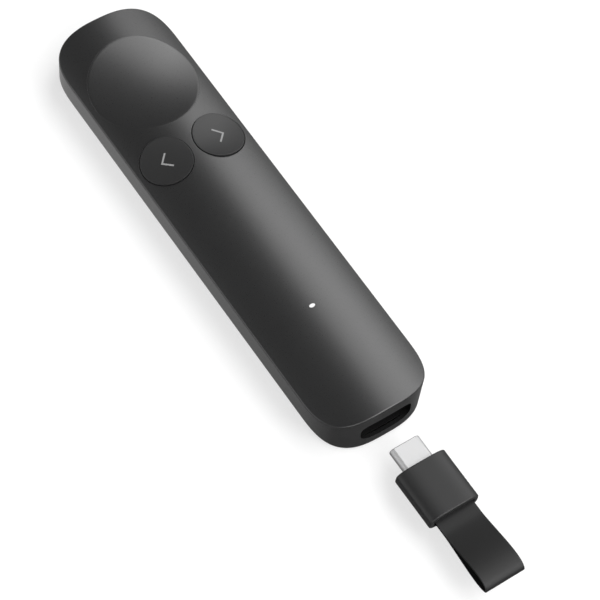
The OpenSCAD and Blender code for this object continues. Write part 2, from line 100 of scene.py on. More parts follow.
def crown_z(x, sunk=0.0):
    """Height of the crowned top at x, or of a surface sunk below it."""
    return CROWN_AXIS_Z + math.sqrt((CROWN_R - sunk) ** 2 - x * x)


def squared(value, power):
    """A sine or cosine that turns a circle into a squarish oval."""
    return math.copysign(abs(value) ** (2 / power), value)


def outline(height_at, inset=0.0):
    """Points round the leaning wall, inset from its outside, at the height given for each x.

    The wall leans, so x depends on that height too. A few rounds settle both.
    """
    points = []
    end = END_L - inset
    for way, start in ((1, 0), (-1, 180)):
        for step in range(END_STEPS + 1):
            angle = math.radians(start + 180 * step / END_STEPS)
            z = EDGE_H
            for _ in range(SETTLE_STEPS):
                half_w = BODY_W / 2 - SIDE_LEAN * (EDGE_H - z) / EDGE_H - inset
                x = half_w * squared(math.cos(angle), END_POWER)
                z = height_at(x)
            half_l = BODY_L / 2 + END_LEAN * (BODY_H - z) / BODY_H - inset
            y = end * squared(math.sin(angle), END_POWER) + way * (half_l - end)
            points.append(Vector((x, y, z)))
    return points


def oval(y, half_w, half_h, power=BAY_POWER):
    """Points round a squarish oval across the receiver's line, at y."""
    points = []
    for step in range(SECTION_STEPS):
        angle = 2 * math.pi * (step + 0.5) / SECTION_STEPS
        x = half_w * squared(math.cos(angle), power)
        z = BAY_Z + half_h * squared(math.sin(angle), power)
        points.append(Vector((x, y, z)))
    return points


def skin(bm, outlines, ends="covered"):
    """Extrudes a ring from outline to outline. Its two ends are covered, joined or left open."""
    verts = [bm.verts.new(point) for point in outlines[0]]
    edges = [bm.edges.new(pair) for pair in zip(verts, verts[1:] + verts[:1])]
    if ends == "covered":
        bmesh.ops.contextual_create(bm, geom=edges)
    for points in outlines[1:] + (outlines[:1] if ends == "joined" else []):
        made = set(bmesh.ops.extrude_edge_only(bm, edges=edges)["geom"])
        verts = [next(edge.other_vert(vert) for edge in vert.link_edges
                      if edge.other_vert(vert) in made) for vert in verts]
        for vert, point in zip(verts, points):
            vert.co = point
        edges = [bm.edges.get(pair) for pair in zip(verts, verts[1:] + verts[:1])]
    if ends == "covered":
        bmesh.ops.contextual_create(bm, geom=edges)


def turned(bm, profile, x, y, steps=48, closed=False):
    """A profile of (radius, z) turned about an upright axis at x, y."""
    verts = [bm.verts.new((x + radius, y, z)) for radius, z in profile]
    edges = [bm.edges.new(pair) for pair in zip(verts, verts[1:])]
    if closed:
        edges.append(bm.edges.new((verts[-1], verts[0])))
    bmesh.ops.spin(bm, geom=verts + edges, cent=(x, y, 0), axis=(0, 0, 1),
                   angle=2 * math.pi, steps=steps, use_merge=True)


def rounded(bm, edges, size, segments=4):
    """Rounds edges, as a moulding tool leaves them."""
    bmesh.ops.bevel(bm, geom=edges, offset=size, segments=segments, profile=0.5,
                    affect="EDGES", material=-1)


def tidy(bm):
    """Merges the doubles and turns every face outwards."""
    bmesh.ops.remove_doubles(bm, verts=bm.verts, dist=MERGE_GAP)
    bm.normal_update()
    bmesh.ops.recalc_face_normals(bm, faces=bm.faces)


def carve(bm, tool, operation="DIFFERENCE"):
    """Cuts the tool's form out of the blank in bm, or joins it to the blank."""
    forms = []
    for form in (bm, tool):
        tidy(form)
        mesh = bpy.data.meshes.new("carving")
        form.to_mesh(mesh)
        forms.append(bpy.data.objects.new("carving", mesh))
        bpy.context.scene.collection.objects.link(forms[-1])
    tool.free()
    cut = forms[0].modifiers.new("cut", "BOOLEAN")
    cut.operation = operation
    cut.solver = "EXACT"
    cut.object = forms[1]
    depsgraph = bpy.context.evaluated_depsgraph_get()
    result = bpy.data.meshes.new_from_object(forms[0].evaluated_get(depsgraph))
    bm.clear()
    bm.from_mesh(result)
    for mesh in [form.data for form in forms] + [result]:
        bpy.data.meshes.remove(mesh)


def add_piece(bm, name, body, nodes, material, crease=32):
    """Makes a finished piece of bm, in place of its CAD nodes."""
    tidy(bm)
    mesh = bpy.data.meshes.new(name)
    bm.to_mesh(mesh)
    bm.free()
    mesh.materials.append(material)
    mesh.shade_smooth()
    mesh.set_sharp_from_angle(angle=math.radians(crease))
    piece = bpy.data.objects.new(name, mesh)
    bpy.context.scene.collection.objects.link(piece)
    normals = piece.modifiers.new("even_normals", "WEIGHTED_NORMAL")
    normals.keep_sharp = True
    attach(piece, body)
    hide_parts(*nodes)
    return piece


def moulded(name, colour, roughness, grain, depth, gloss=0.5):
    """An opaque moulded finish with an even texture of the given grain and depth."""
    material = bpy.data.materials.new(name)
    material.use_nodes = True
    nodes, links = material.node_tree.nodes, material.node_tree.links
    shader = nodes["Principled BSDF"]
    shader.inputs["IOR"].default_value = PLASTIC_IOR
    shader.inputs["Specular IOR Level"].default_value = gloss
    place = nodes.new("ShaderNodeTexCoord")
    fine = nodes.new("ShaderNodeTexNoise")
    fine.inputs["Scale"].default_value = 1 / grain
    fine.inputs["Detail"].default_value = 3
    broad = nodes.new("ShaderNodeTexNoise")
    broad.inputs["Scale"].default_value = 1 / TINT_PATCH
    broad.inputs["Detail"].default_value = 2
    links.new(place.outputs["Object"], fine.inputs["Vector"])
    links.new(place.outputs["Object"], broad.inputs["Vector"])
    tint = nodes.new("ShaderNodeMapRange")
    tint.inputs["To Min"].default_value = 1 - TINT_SPREAD
    tint.inputs["To Max"].default_value = 1 + TINT_SPREAD
    links.new(broad.outputs["Fac"], tint.inputs["Value"])
    paint = nodes.new("ShaderNodeVectorMath")
    paint.operation = "SCALE"
    paint.inputs[0].default_value = colour
    links.new(tint.outputs["Result"], paint.inputs["Scale"])
    links.new(paint.outputs["Vector"], shader.inputs["Base Color"])
    sheen = nodes.new("ShaderNodeMapRange")
    sheen.inputs["From Min"].default_value = 0.3
    sheen.inputs["From Max"].default_value = 0.7
    sheen.inputs["To Min"].default_value = roughness - SHEEN_SPREAD
    sheen.inputs["To Max"].default_value = roughness + SHEEN_SPREAD
    links.new(fine.outputs["Fac"], sheen.inputs["Value"])
    links.new(sheen.outputs["Result"], shader.inputs["Roughness"])
    relief = nodes.new("ShaderNodeBump")
    relief.inputs["Strength"].default_value = 1
    relief.inputs["Distance"].default_value = depth
    links.new(fine.outputs["Fac"], relief.inputs["Height"])
    links.new(relief.outputs["Normal"], shader.inputs["Normal"])
    return material


shell_plastic = moulded("shell_plastic", ABS_GREY, ABS_SATIN, ABS_GRAIN, ABS_RELIEF)
tail_y = -BODY_L / 2
seat_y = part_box("receiver_bay")[0].y

shell = bmesh.new()
skin(shell, [
    outline(lambda x: 0),
    outline(lambda x: crown_z(x, RIM_H) - SEAM),
    outline(lambda x: crown_z(x, RIM_H) - SEAM, WALL_T),
    outline(lambda x: FLOOR_T, WALL_T),
])
foot = [edge for edge in shell.edges if all(vert.co.z < TINY for vert in edge.verts)]
rounded(shell, foot, FOOT_R, 8)

seat = bmesh.new()
skin(seat, [
    oval(y, BAY_W / 2 + BAY_WALL, BAY_H / 2 + BAY_WALL)
    for y in (tail_y + WALL_T / 2, seat_y)
])
carve(shell, seat, "UNION")
mouth = bmesh.new()
skin(mouth, [
    oval(y, BAY_W / 2, BAY_H / 2)
    for y in (tail_y - MOUTH_PAST_TAIL, seat_y + MOUTH_PAST_SEAT)
])
carve(shell, mouth)

screw_low, screw_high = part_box("board_screws")
board_low, board_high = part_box("circuit_board")
boss_x = screw_high.x - SCREW_HEAD_R
boss_ys = (screw_low.y + SCREW_HEAD_R, screw_high.y - SCREW_HEAD_R)
for x in (-boss_x, boss_x):
    for y in boss_ys:
        turned(shell, [(BOSS_BORE_R, FLOOR_T), (BOSS_R, FLOOR_T),
                       (BOSS_R, board_low.z), (BOSS_BORE_R, board_low.z)], x, y, closed=True)
motor_low, motor_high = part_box("vibration_motor")
motor_r = (motor_high.x - motor_low.x) / 2
motor_y = (motor_high.y + motor_low.y) / 2
fence_r = motor_r + FENCE_GAP
turned(shell, [(fence_r, FLOOR_T), (fence_r + FENCE_T, FLOOR_T),
               (fence_r + FENCE_T, FLOOR_T + FENCE_H), (fence_r, FLOOR_T + FENCE_H)],
       0, motor_y, closed=True)
shell_piece = add_piece(shell, "shell_moulding", "handset", ["base_shell"],
                        shell_plastic)


# ---- Receiver bay --------------------------------------------------------------------
# A black sleeve behind the mouth, which guides the receiver home. It is pushed on to
# the seat inside the tail wall, and its end wall holds the charging port. The shell's own
# faces inside the mouth get the same black as painted shade, for the shadow deep in the mouth.

PORT_W = 9.05 * MM
PORT_H = 3.2 * MM
PORT_FIT = 0.1 * MM
BAY_END_T = 1 * MM
MOUTH_SHADE_LEAN = 0.3


def racetrack(y, width, height):
    """Points round a flat-sided section with round ends across the receiver's line, at y."""
    points = []
    for step in range(SECTION_STEPS):
        angle = 2 * math.pi * (step + 0.5) / SECTION_STEPS
        x = math.copysign((width - height) / 2, math.cos(angle)) + height / 2 * math.cos(angle)
        points.append(Vector((x, y, BAY_Z + height / 2 * math.sin(angle))))
    return points


bay_plastic = moulded("bay_plastic", (0.003, 0.003, 0.003), roughness=0.6, grain=0.1 * MM,
                      depth=0.002 * MM, gloss=0.1)
bay_end_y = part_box("receiver_bay")[1].y
bay_face_y = bay_end_y - BAY_END_T

sleeve = bmesh.new()
skin(sleeve, [
    oval(seat_y, BAY_W / 2, BAY_H / 2),
    oval(seat_y, BAY_W / 2 + BAY_WALL, BAY_H / 2 + BAY_WALL),
    oval(bay_end_y, BAY_W / 2 + BAY_WALL, BAY_H / 2 + BAY_WALL),
    racetrack(bay_end_y, PORT_W + PORT_FIT, PORT_H + PORT_FIT),
    racetrack(bay_face_y, PORT_W + PORT_FIT, PORT_H + PORT_FIT),
    oval(bay_face_y, BAY_W / 2, BAY_H / 2),
], "joined")
add_piece(sleeve, "bay_sleeve", "handset", ["receiver_bay"], bay_plastic)

# Painted shade: the shell's own faces in the mouth, which run along the bay, get the sleeve's
# black in place of the shadow that lies in the mouth.
shell_piece.data.materials.append(bay_plastic)
for face in shell_piece.data.polygons:
    in_shaded_mouth = abs(face.center.x) < BAY_W / 2 and abs(face.center.z - BAY_Z) < BAY_H / 2
    if in_shaded_mouth and face.center.y < seat_y and abs(face.normal.y) < MOUTH_SHADE_LEAN:
        face.material_index = 1


# ---- Battery -------------------------------------------------------------------------
# A flat lithium cell in crinkled aluminium foil, stuck to the floor on a pad of black
# foam. Two nickel tabs welded to its end reach up to the board.

SATIN_SPREAD = 0.05


def bare_metal(name, colour, roughness, grain, depth=0.0003 * MM):
    """Metal with fine marks. Their grain is in millimetres along X, Y and Z."""
    material = bpy.data.materials.new(name)
    material.use_nodes = True
    nodes, links = material.node_tree.nodes, material.node_tree.links
    shader = nodes["Principled BSDF"]
    shader.inputs["Base Color"].default_value = (*colour, 1)
    shader.inputs["Metallic"].default_value = 1
    place = nodes.new("ShaderNodeTexCoord")
    stretch = nodes.new("ShaderNodeMapping")
    stretch.inputs["Scale"].default_value = [1 / (size * MM) for size in grain]
    marks = nodes.new("ShaderNodeTexNoise")
    marks.inputs["Scale"].default_value = 1
    links.new(place.outputs["Object"], stretch.inputs["Vector"])
    links.new(stretch.outputs["Vector"], marks.inputs["Vector"])
    satin = nodes.new("ShaderNodeMapRange")
    satin.inputs["To Min"].default_value = roughness - SATIN_SPREAD
    satin.inputs["To Max"].default_value = roughness + SATIN_SPREAD
    links.new(marks.outputs["Fac"], satin.inputs["Value"])
    links.new(satin.outputs["Result"], shader.inputs["Roughness"])
    relief = nodes.new("ShaderNodeBump")
    relief.inputs["Strength"].default_value = 1
    relief.inputs["Distance"].default_value = depth
    links.new(marks.outputs["Fac"], relief.inputs["Height"])
    links.new(relief.outputs["Normal"], shader.inputs["Normal"])
    return material


def dress(node, material):
    """Gives a CAD node its material."""
    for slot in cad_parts[node].material_slots:
        slot.material = material


dress("battery", bare_metal("battery_foil", (0.6, 0.61, 0.63), roughness=0.42,
                            grain=(1.6, 1.6, 1.6), depth=0.06 * MM))
dress("battery_pad", moulded("pad_foam", (0.015, 0.015, 0.016), roughness=0.92,
                             grain=0.45 * MM, depth=0.15 * MM, gloss=0.2))
dress("battery_tabs", bare_metal("tab_nickel", (0.66, 0.63, 0.58), roughness=0.32,
                                 grain=(0.06, 1, 0.5)))


# ---- Vibration motor -----------------------------------------------------------------
# A coin motor for silent alarms, in a drawn steel can. It is glued to the floor inside the
# round fence.

dress("vibration_motor", bare_metal("motor_steel", (0.5, 0.5, 0.51), roughness=0.3,
                                    grain=(0.4, 0.4, 0.05)))


# ---- Circuit board -------------------------------------------------------------------
# Glass-fibre board under green lacquer, with its copper tracks showing as a faint relief.
# Four zinc-plated screws hold it on the bosses. The receiver has a little board like it.

TRACK_PITCH = 0.7
TRACK_L = 4.5
TRACK_GAP = 0.12

board_lacquer = bpy.data.materials.new("board_lacquer")
board_lacquer.use_nodes = True
nodes, links = board_lacquer.node_tree.nodes, board_lacquer.node_tree.links
lacquer = nodes["Principled BSDF"]
lacquer.inputs["Roughness"].default_value = 0.35
place = nodes.new("ShaderNodeTexCoord")
quarter_turn = nodes.new("ShaderNodeMapping")
quarter_turn.inputs["Rotation"].default_value = (0, 0, math.pi / 2)
quarter_turn.inputs["Scale"].default_value = (1 / MM, 1 / MM, 1 / MM)
tracks = nodes.new("ShaderNodeTexBrick")
tracks.inputs["Color1"].default_value = (0.012, 0.12, 0.055, 1)
tracks.inputs["Color2"].default_value = (0.01, 0.095, 0.045, 1)
tracks.inputs["Mortar"].default_value = (0.006, 0.055, 0.028, 1)
tracks.inputs["Scale"].default_value = 1
tracks.inputs["Brick Width"].default_value = TRACK_L
tracks.inputs["Row Height"].default_value = TRACK_PITCH
tracks.inputs["Mortar Size"].default_value = TRACK_GAP / 2
links.new(place.outputs["Object"], quarter_turn.inputs["Vector"])
links.new(quarter_turn.outputs["Vector"], tracks.inputs["Vector"])
links.new(tracks.outputs["Color"], lacquer.inputs["Base Color"])
relief = nodes.new("ShaderNodeBump")
relief.invert = True
relief.inputs["Strength"].default_value = 1
relief.inputs["Distance"].default_value = 0.02 * MM
links.new(tracks.outputs["Fac"], relief.inputs["Height"])
links.new(relief.outputs["Normal"], lacquer.inputs["Normal"])
dress("circuit_board", board_lacquer)
dress("receiver_board", board_lacquer)
dress("board_screws", bare_metal("screw_zinc", (0.62, 0.63, 0.66), roughness=0.34,
                                 grain=(0.3, 0.3, 0.1)))


# ---- Switches and small parts --------------------------------------------------------
# Snap-dome switches with a steel dome over a nylon base, and tan capacitors with tinned
# ends, all soldered to the board.

SWITCH_BASE_H = 0.7 * MM
CAPACITOR_L = 1 * MM
CAPACITOR_BARE = 0.3 * MM


def bare_metal_beyond(material, axis, middle, reach, colour, roughness):
    """Turns a finish into bare metal where it is further than a reach from a middle plane.

    Both sides of the model are alike, so the plane stands on each.
    """
    nodes, links = material.node_tree.nodes, material.node_tree.links
    place = nodes.new("ShaderNodeTexCoord")
    parts = nodes.new("ShaderNodeSeparateXYZ")
    links.new(place.outputs["Object"], parts.inputs["Vector"])
    source = parts.outputs[axis]
    for operation, value in (("ABSOLUTE", 0), ("SUBTRACT", middle), ("ABSOLUTE", 0),
                             ("GREATER_THAN", reach)):
        step = nodes.new("ShaderNodeMath")
        step.operation = operation
        step.inputs[1].default_value = value
        links.new(source, step.inputs[0])
        source = step.outputs["Value"]
    metal = nodes.new("ShaderNodeBsdfPrincipled")
    metal.inputs["Base Color"].default_value = (*colour, 1)
    metal.inputs["Metallic"].default_value = 1
    metal.inputs["Roughness"].default_value = roughness
    both = nodes.new("ShaderNodeMixShader")
    links.new(source, both.inputs["Fac"])
    links.new(nodes["Principled BSDF"].outputs["BSDF"], both.inputs[1])
    links.new(metal.outputs["BSDF"], both.inputs[2])
    links.new(both.outputs["Shader"], nodes["Material Output"].inputs["Surface"])


switch_nylon = moulded("switch_nylon", (0.03, 0.03, 0.031), roughness=0.5, grain=0.08 * MM,
                       depth=0.001 * MM)
bare_metal_beyond(switch_nylon, "Z", middle=0, reach=board_high.z + SWITCH_BASE_H,
                  colour=(0.6, 0.6, 0.61), roughness=0.22)
for node in ("pointer_switch", "back_switch", "next_switch"):
    dress(node, switch_nylon)

capacitor = moulded("capacitor_ceramic", (0.36, 0.23, 0.12), roughness=0.5, grain=0.05 * MM,
                    depth=0.0005 * MM)
capacitor_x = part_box("small_parts")[1].x - CAPACITOR_L / 2
bare_metal_beyond(capacitor, "X", middle=capacitor_x, reach=CAPACITOR_BARE,
                  colour=(0.68, 0.68, 0.7), roughness=0.35)
dress("small_parts", capacitor)


# ---- Chips, crystal, antennas and LED ------------------------------------------------
# The radio, the charger and the motion sensor in black epoxy, a crystal in a steel can,
# chip antennas of pale fired ceramic, and an LED under the light window.

chip_epoxy = moulded("chip_epoxy", (0.011, 0.011, 0.012), roughness=0.55, grain=0.06 * MM,
                     depth=0.001 * MM)
antenna_ceramic = moulded("antenna_ceramic", (0.68, 0.64, 0.52), roughness=0.38,
                          grain=0.05 * MM, depth=0.0005 * MM)
for node in ("radio_chip", "power_chip", "motion_sensor", "receiver_chip"):
    dress(node, chip_epoxy)
for node in ("antenna", "receiver_antenna"):
    dress(node, antenna_ceramic)
dress("crystal", bare_metal("crystal_steel", (0.64, 0.64, 0.65), roughness=0.24,
                            grain=(0.1, 0.6, 0.1)))
dress("status_led", moulded("led_resin", (0.8, 0.77, 0.55), roughness=0.22, grain=0.05 * MM,
                            depth=0.0005 * MM))


# ---- Top cover -----------------------------------------------------------------------
# The crowned lid, moulded from the same ABS. It is drawn flat here, with its holes and
# its rounded edges, then cut into narrow strips and laid on the crown.

COVER_T = 1.3 * MM
COVER_EDGE_R = 0.28 * MM
COVER_CREASE = 20
HOLE_EDGE_R = 0.02 * MM
SQUARE_EDGE = math.radians(69)
STRIP_W = 0.3 * MM

DISH_R = 13.7 * MM
DISH_Y = 41.5 * MM
DISH_HOLE_R = 13.71 * MM
KEY_R = 6.43 * MM
KEY_X = 7.4 * MM
KEY_Y = 19.5 * MM
KEY_HOLE_R = 6.6 * MM
KEY_STEPS = 192

SNAP_YS = (-44 * MM, -22 * MM, 4 * MM)
SNAP_T = 0.8 * MM
SNAP_L = 6 * MM
SNAP_H = 2.6 * MM
SNAP_ROOT = 0.4 * MM
SNAP_GAP = 0.2 * MM
SNAP_Z = EDGE_H - RIM_H - SNAP_H / 2 + SNAP_ROOT
SNAP_X = BODY_W / 2 - SIDE_LEAN * (RIM_H + SNAP_H) / EDGE_H - WALL_T - SNAP_T / 2 - SNAP_GAP

LIGHT_Y = -31.6 * MM
LIGHT_W = 1.8 * MM
LIGHT_L = 1 * MM
LIGHT_GAP = 0.02 * MM


def lay_flat(points, sunk):
    """The same outline at one depth below a flat top."""
    return [Vector((point.x, point.y, -sunk)) for point in points]


def slice_along_x(bm, low, high, width):
    """Cuts a form into strips across X, so that it can follow a curve."""
    for index in range(1, math.ceil((high - low) / width)):
        bmesh.ops.bisect_plane(bm, geom=bm.verts[:] + bm.edges[:] + bm.faces[:],
                               plane_co=(low + index * width, 0, 0), plane_no=(1, 0, 0))


def pill(bm, low, high, extra=0.0, steps=24):
    """The light window's outline, drawn up from low to high."""
    points = []
    for step in range(steps):
        angle = 2 * math.pi * (step + 0.5) / steps
        half = LIGHT_L / 2 + extra
        x = math.copysign((LIGHT_W - LIGHT_L) / 2, math.cos(angle)) + half * math.cos(angle)
        points.append((x, LIGHT_Y + half * math.sin(angle)))
    skin(bm, [[(x, y, z) for x, y in points] for z in (low, high)])


def block(bm, middle, size):
    """Adds a plain block, for a tab or an ear out of sight."""
    place = Matrix.Translation(middle) @ Matrix.Diagonal((*size, 1))
    bmesh.ops.create_cube(bm, size=1, matrix=place)


cover_plastic = moulded("cover_plastic", ABS_GREY, ABS_SATIN, ABS_GRAIN, ABS_RELIEF)

cover = bmesh.new()
edge_line = outline(crown_z)
rim_line = outline(lambda x: crown_z(x, RIM_H))
insert_line = outline(lambda x: crown_z(x, RIM_H), WALL_T + 2 * SEAM)
skin(cover, [
    lay_flat(edge_line, 0),
    lay_flat(rim_line, RIM_H),
    lay_flat(insert_line, RIM_H),
    lay_flat(insert_line, COVER_T),
])
rounded(cover, [edge for edge in cover.edges
                if all(vert.co.z > -TINY for vert in edge.verts)], COVER_EDGE_R, 6)
holes = bmesh.new()
for x, y, radius in ((0, DISH_Y, DISH_HOLE_R), (-KEY_X, KEY_Y, KEY_HOLE_R),
                     (KEY_X, KEY_Y, KEY_HOLE_R)):
    bmesh.ops.create_cone(holes, cap_ends=True, segments=KEY_STEPS, radius1=radius, radius2=radius,
                          depth=4 * COVER_T, matrix=Matrix.Translation((x, y, 0)))
pill(holes, -2 * COVER_T, 2 * COVER_T, LIGHT_GAP)
carve(cover, holes)
hole_rims = [edge for edge in cover.edges
             if all(vert.co.z > -TINY for vert in edge.verts)
             and len(edge.link_faces) == 2 and edge.calc_face_angle() > SQUARE_EDGE]
rounded(cover, hole_rims, HOLE_EDGE_R, 2)
slice_along_x(cover, -BODY_W / 2, BODY_W / 2, STRIP_W)
for vert in cover.verts:
    vert.co.z = crown_z(vert.co.x, -vert.co.z)
for side in (-1, 1):
    for y in SNAP_YS:
        block(cover, (side * SNAP_X, y, SNAP_Z), (SNAP_T, SNAP_L, SNAP_H))
add_piece(cover, "cover_moulding", "handset", ["top_cover"], cover_plastic,
          COVER_CREASE)


# ---- Pointer key ---------------------------------------------------------------------
# The large round key at the nose, hollow, dished for the thumb. Its rim lies on the
# crown, a plunger in its middle reaches down to the switch, and an ear at its front and
# its back hooks under the cover.

KEY_SKIN = 1.1 * MM
DISH_EDGE_R = 0.02 * MM
KEY_RINGS = 24
DISH_DEPTH = 1.15 * MM
PLUNGER_R = 1.6 * MM
SKIRT_Z = 8.35 * MM
PLUNGER_Z = 7.85 * MM
EAR_W = 3 * MM
EAR_T = 0.7 * MM
EAR_REACH = 0.75 * MM
EAR_GAP = 0.2 * MM


def arc_radius(half_chord, rise):
    """Radius of the arc that spans a chord with a given rise."""
    return (half_chord ** 2 + rise ** 2) / (2 * rise)


def dished_top(x, y, radius, dip, depth, proud=0.0):
    """Gives the height of a round key's top at a place: a saddle, depth deep along Y.

    At its sides its rim stands proud of the crown, and its middle lies a dip below them.
    """
    left = math.asin((x - radius) / CROWN_R)
    right = math.asin((x + radius) / CROWN_R)
    half, turn = (right - left) / 2, (right + left) / 2
    across_r = arc_radius(CROWN_R * math.sin(half), CROWN_R * (1 - math.cos(half)) - dip)
    along_r = arc_radius(radius, depth)
    axis_d = CROWN_R - dip - across_r
    axis_x = axis_d * math.sin(turn)
    axis_z = CROWN_AXIS_Z + axis_d * math.cos(turn)

    def height(at_x, at_y):
        reach = across_r + along_r - math.sqrt(along_r ** 2 - (at_y - y) ** 2)
        return axis_z + proud + math.sqrt(reach ** 2 - (at_x - axis_x) ** 2)

    return height


def key_form(x, y, radius, edge_r, height):
    """A hollow round key with a rounded rim, its plunger and the dished top that height gives.

    Its foot is drawn far down at first, which keeps it apart from the top.
    """
    bm = bmesh.new()
    face_r = radius - edge_r
    profile = [(face_r * step / KEY_RINGS, 0) for step in range(KEY_RINGS + 1)]
    for angle in (30, 60, 90):
        profile.append((face_r + edge_r * math.sin(math.radians(angle)),
                        edge_r * (math.cos(math.radians(angle)) - 1)))
    inner_r = radius - KEY_SKIN
    profile += [(radius, -BODY_H), (inner_r, -BODY_H), (inner_r, -KEY_SKIN), (0, -KEY_SKIN)]
    turned(bm, profile, x, y, KEY_STEPS)
    for vert in bm.verts:
        if vert.co.z > -BODY_H / 2:
            vert.co.z += height(vert.co.x, vert.co.y)
        else:
            vert.co.z = SKIRT_Z
    root = height(x, y) - KEY_SKIN / 2
    turned(bm, [(0, PLUNGER_Z), (PLUNGER_R, PLUNGER_Z), (PLUNGER_R, root), (0, root)], x, y)
    ear_l = EAR_REACH + KEY_SKIN / 2
    ear_z = crown_z(abs(x) + EAR_W / 2, COVER_T) - EAR_GAP - EAR_T / 2
    for way in (-1, 1):
        block(bm, (x, y + way * (radius - KEY_SKIN / 2 + ear_l / 2), ear_z), (EAR_W, ear_l, EAR_T))
    return bm


key_plastic = moulded("key_plastic", ABS_GREY, ABS_SATIN, ABS_GRAIN, ABS_RELIEF, gloss=0.55)
dish_height = dished_top(0, DISH_Y, DISH_R, DISH_DEPTH, DISH_DEPTH)
add_piece(key_form(0, DISH_Y, DISH_R, DISH_EDGE_R, dish_height), "pointer_key_moulding",
          "pointer_key", ["pointer_button"], key_plastic)


# ---- Back and next keys --------------------------------------------------------------
# Two smaller keys of the same kind with a drier texture, dished only along the body, so
# that they stand proud at the front and the back. Each has a chevron of pale grey
# plastic, moulded in as a second shot.

KEY_DISH = 0.5 * MM
KEY_DIP = 0.15 * MM
KEY_LOW = 0.5 * MM
KEY_EDGE_R = 0.05 * MM
KEY_PROUD = 0.13 * MM
ARROW_L = 3.1 * MM
ARROW_T = 0.42 * MM
ARROW_DEPTH = 0.25 * MM
ARROW_TIP = 1.33 * MM
ARROW_PROUD = 0.012 * MM


def chevron(side, height):
    """A chevron on the key's top. Its arms are at right angles and its tip points outwards."""
    bm = bmesh.new()
    half = ARROW_T / 2
    plan = [(-half, -half), (ARROW_L - half, -half), (ARROW_L - half, half), (half, half),
            (half, ARROW_L - half), (-half, ARROW_L - half)]
    turn = Matrix.Rotation(math.radians(45 + 90 * side), 3, "Z")
    middle = Vector((side * (KEY_X + ARROW_TIP), KEY_Y, 0))
    corners = [turn @ Vector((x, y, 0)) + middle for x, y in plan]
    skin(bm, [lay_flat(corners, sunk) for sunk in (ARROW_DEPTH, 0)])
    slice_along_x(bm, min(corner.x for corner in corners), max(corner.x for corner in corners),
                  STRIP_W)
    for vert in bm.verts:
        vert.co.z += height(vert.co.x, vert.co.y) + ARROW_PROUD
    return bm


small_key_plastic = moulded("small_key_plastic", (0.0225, 0.0225, 0.0227), roughness=0.33,
                            grain=0.2 * MM, depth=0.001 * MM, gloss=0.18)
arrow_plastic = moulded("arrow_plastic", (0.235, 0.235, 0.235), roughness=0.5,
                        grain=0.1 * MM, depth=0.001 * MM, gloss=0.15)
for side, name in ((-1, "back"), (1, "next")):
    height = dished_top(side * KEY_X, KEY_Y + KEY_LOW, KEY_R, KEY_DIP, KEY_DISH, KEY_PROUD)
    add_piece(key_form(side * KEY_X, KEY_Y, KEY_R, KEY_EDGE_R, height), name + "_key_moulding",
              name + "_key", [name + "_button"], small_key_plastic)
    add_piece(chevron(side, height), name + "_chevron", name + "_key", [name + "_arrow"],
              arrow_plastic)


# ---- Status light --------------------------------------------------------------------
# A smoked pipe from the LED up to a small window in the cover, pushed in from below.
# The LED's white light shows as an oval with a soft edge in the window.

LIGHT_PROUD = 0.02 * MM
LIGHT_EDGE_R = 0.06 * MM
LIT_W = 1.52 * MM
LIT_L = 0.94 * MM
LIT_STRENGTH = 0.9
LIT_FADE = 0.1

light_window = bpy.data.materials.new("light_window")
light_window.use_nodes = True
nodes, links = light_window.node_tree.nodes, light_window.node_tree.links
glow = nodes["Principled BSDF"]
glow.inputs["Base Color"].default_value = (0.03, 0.03, 0.03, 1)
glow.inputs["Roughness"].default_value = 0.25
glow.inputs["Emission Color"].default_value = (1, 1, 1, 1)
place = nodes.new("ShaderNodeTexCoord")
centred = nodes.new("ShaderNodeMapping")
centred.inputs["Location"].default_value = (0, -2 * LIGHT_Y / LIT_L, 0)
centred.inputs["Scale"].default_value = (2 / LIT_W, 2 / LIT_L, 0)
links.new(place.outputs["Object"], centred.inputs["Vector"])
off_middle = nodes.new("ShaderNodeVectorMath")
off_middle.operation = "LENGTH"
links.new(centred.outputs["Vector"], off_middle.inputs[0])
fade = nodes.new("ShaderNodeMapRange")
fade.inputs["From Min"].default_value = 1 - LIT_FADE
fade.inputs["From Max"].default_value = 1 + LIT_FADE
fade.inputs["To Min"].default_value = LIT_STRENGTH
fade.inputs["To Max"].default_value = 0
links.new(off_middle.outputs["Value"], fade.inputs["Value"])
links.new(fade.outputs["Result"], glow.inputs["Emission Strength"])

pipe = bmesh.new()
pipe_low, pipe_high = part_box("light_pipe")
pill(pipe, pipe_low.z - pipe_high.z, 0)
top_rim = [edge for edge in pipe.edges if all(vert.co.z > -TINY for vert in edge.verts)]
rounded(pipe, top_rim, LIGHT_EDGE_R, 3)
for vert in pipe.verts:
    if vert.co.z > -COVER_T:
        vert.co.z += crown_z(vert.co.x) + LIGHT_PROUD
    else:
        vert.co.z = pipe_low.z
add_piece(pipe, "light_lens", "handset", ["light_pipe"], light_window)


# ---- Plug ----------------------------------------------------------------------------
# The receiver's plug: a drawn shell of satin nickel-plated steel round a black nylon core,
# held in the cap. The port in the bay has a shell and a tongue of the same kinds.

PLUG_W = 8.25 * MM
PLUG_H = 2.4 * MM
SHEET_T = 0.3 * MM
LIP_R = 0.25 * MM


def drawn_shell(width, height, mouth_y, back_y, lip_way):
    """A flat-sided tube of sheet metal along Y, rounded over at its mouth."""
    bm = bmesh.new()
    rings = [racetrack(back_y, width, height)]
    for angle in (0, 30, 60, 90):
        drop = LIP_R * (1 - math.cos(math.radians(angle)))
        y = mouth_y - lip_way * LIP_R * (1 - math.sin(math.radians(angle)))
        rings.append(racetrack(y, width - 2 * drop, height - 2 * drop))
    inner_w, inner_h = width - 2 * SHEET_T, height - 2 * SHEET_T
    rings.append(racetrack(mouth_y, inner_w, inner_h))
    rings.append(racetrack(back_y, inner_w, inner_h))
    skin(bm, rings, "joined")
    return bm


